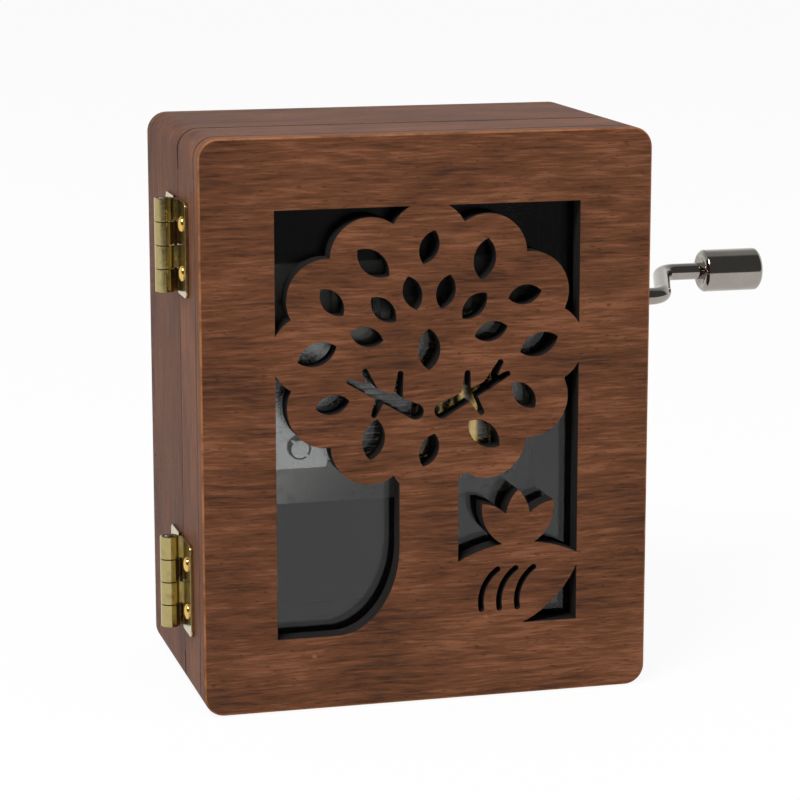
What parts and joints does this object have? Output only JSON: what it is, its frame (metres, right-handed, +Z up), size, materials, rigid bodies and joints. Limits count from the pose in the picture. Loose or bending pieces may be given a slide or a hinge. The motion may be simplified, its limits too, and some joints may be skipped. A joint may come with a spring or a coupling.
{
  "type": "hand cranked music box",
  "caption": "Upright wooden music box with a hinged front door, a fretwork tree over a clear pane, and a side crank that turns a pinned cylinder against a steel comb.",
  "frame": {"origin": "middle of the base, under the middle of the closed case", "axes": "+X towards the crank, -Y towards the front door, +Z up"},
  "size_m": [0.1048, 0.0441, 0.085],
  "materials": {
    "front_wood": "stained and oiled, fine grain across the panel",
    "case_wood": "stained, duller than the front, grain along each board",
    "clear_pane": "clear and glossy",
    "hinge_brass": "bright pressed brass",
    "drum_brass": "turned brass",
    "steel": "ground steel",
    "lead": "dull lead",
    "cast_metal": "plated die casting",
    "nickel": "polished nickel plate",
    "wheel_plastic": "natural moulded plastic"
  },
  "bodies": {
    "case": {"back_panel": "case_wood", "body_top_wall": "case_wood", "body_bottom_wall": "case_wood", "body_left_wall": "case_wood", "body_right_wall": "case_wood", "body_magnet": "nickel", "upper_hinge_body_leaf": "hinge_brass", "lower_hinge_body_leaf": "hinge_brass", "upper_hinge_pin": "hinge_brass", "lower_hinge_pin": "hinge_brass", "body_hinge_nails": "hinge_brass", "bedplate": "cast_metal", "movement_screws": "steel", "comb": "steel", "comb_weights": "lead", "comb_screws": "steel", "upper_cylinder_bearing": "steel", "lower_cylinder_bearing": "steel", "inner_crank_post": "cast_metal", "outer_crank_post": "cast_metal", "bearing_screws": "steel"},
    "door": {"fret_panel": "front_wood", "window_pane": "clear_pane", "door_top_rail": "case_wood", "door_bottom_rail": "case_wood", "door_hinge_stile": "case_wood", "door_latch_stile": "case_wood", "door_magnet": "nickel", "upper_hinge_door_leaf": "hinge_brass", "lower_hinge_door_leaf": "hinge_brass", "door_hinge_nails": "hinge_brass"},
    "cylinder": {"cylinder_drum": "drum_brass", "cylinder_pins": "steel", "drum_end_plugs": "drum_brass", "cylinder_arbor": "steel", "worm_wheel": "wheel_plastic"},
    "crank": {"crank_wire": "nickel", "worm": "wheel_plastic"},
    "knob": {"crank_knob": "nickel"}
  },
  "joints": [
    {"name": "door_hinge", "type": "hinge", "parent": "case", "child": "door", "pos_m": [-0.0362, -0.0054, 0.0425], "axis": [0, 0, -1], "range_deg": [0, 175]},
    {"name": "crank_turn", "type": "hinge", "parent": "case", "child": "crank", "pos_m": [0.034, 0.008, 0.0548], "axis": [1, 0, 0], "continuous": true},
    {"name": "cylinder_turn", "type": "hinge", "parent": "case", "child": "cylinder", "pos_m": [0.01, 0.0001, 0.0419], "axis": [0, 0, 1], "continuous": true},
    {"name": "knob_spin", "type": "hinge", "parent": "crank", "child": "knob", "pos_m": [0.06225, 0.02, 0.0566], "axis": [1, 0, 0], "continuous": true}
  ],
  "couplings": [
    {"joint": "cylinder_turn", "follows": "crank_turn", "ratio": 0.05}
  ]
}
